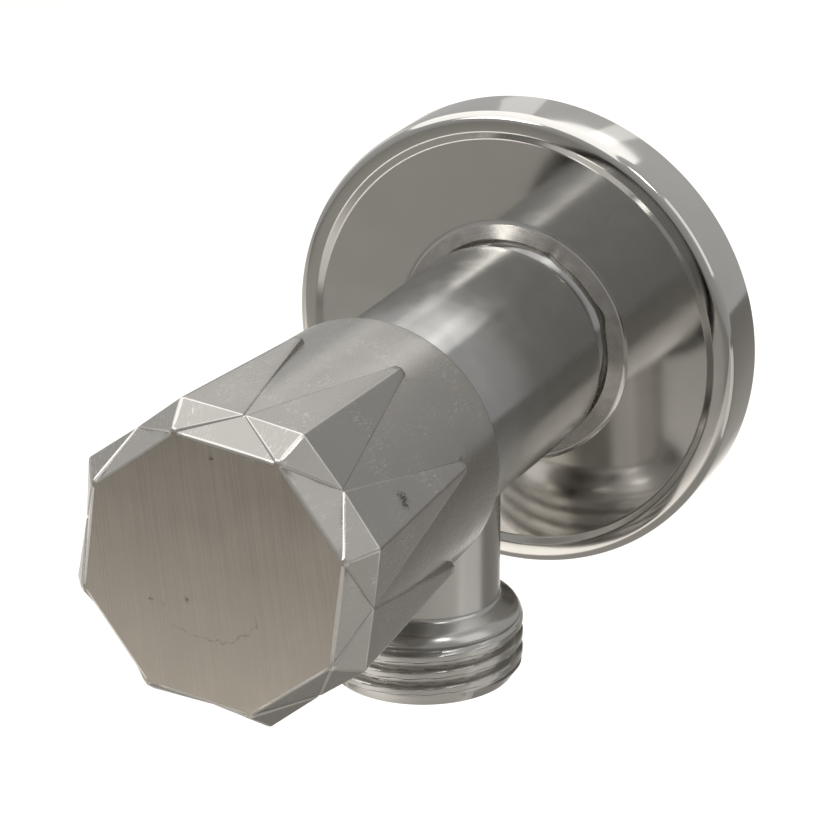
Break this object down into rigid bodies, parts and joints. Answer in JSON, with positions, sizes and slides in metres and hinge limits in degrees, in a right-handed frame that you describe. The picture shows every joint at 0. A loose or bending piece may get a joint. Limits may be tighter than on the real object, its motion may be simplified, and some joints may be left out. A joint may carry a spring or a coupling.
{
  "type": "angle stop valve",
  "caption": "Quarter-turn angle stop valve: straight tube body, faceted octagonal knob, slip-on round wall flange, outlet at right angles.",
  "frame": {"origin": "where the inlet's axis crosses the wall's surface, which is the plane of the flange's back rim", "axes": "+Y along the inlet into the wall, -Y towards the knob, -Z along the outlet, +X to the right seen from the knob"},
  "size_m": [0.0508, 0.0886, 0.0544],
  "materials": {
    "satin_steel": "satin turned stainless steel",
    "mirror_steel": "mirror-polished drawn stainless sheet",
    "knob_satin": "brushed cast metal, warm grey",
    "cartridge_brass": "turned brass",
    "ceramic": "lapped white ceramic",
    "rubber": "black rubber",
    "washer_plastic": "natural slippery plastic",
    "fastener_steel": "plain steel"
  },
  "bodies": {
    "valve": {"valve_body": "satin_steel", "wall_flange": "mirror_steel", "seat_seal": "rubber", "fixed_disc": "ceramic", "cartridge_housing": "cartridge_brass", "housing_ring": "rubber"},
    "handle": {"knob": "knob_satin", "knob_insert": "cartridge_brass", "knob_set_screw": "fastener_steel", "spindle": "cartridge_brass", "spindle_ring_rear": "rubber", "spindle_ring_front": "rubber", "thrust_washer": "washer_plastic", "retaining_clip": "fastener_steel", "moving_disc": "ceramic"}
  },
  "joints": [
    {"name": "knob_turn", "type": "hinge", "parent": "valve", "child": "handle", "pos_m": [0, -0.0578, 0], "axis": [0, -1, 0], "range_deg": [0, 90]}
  ]
}
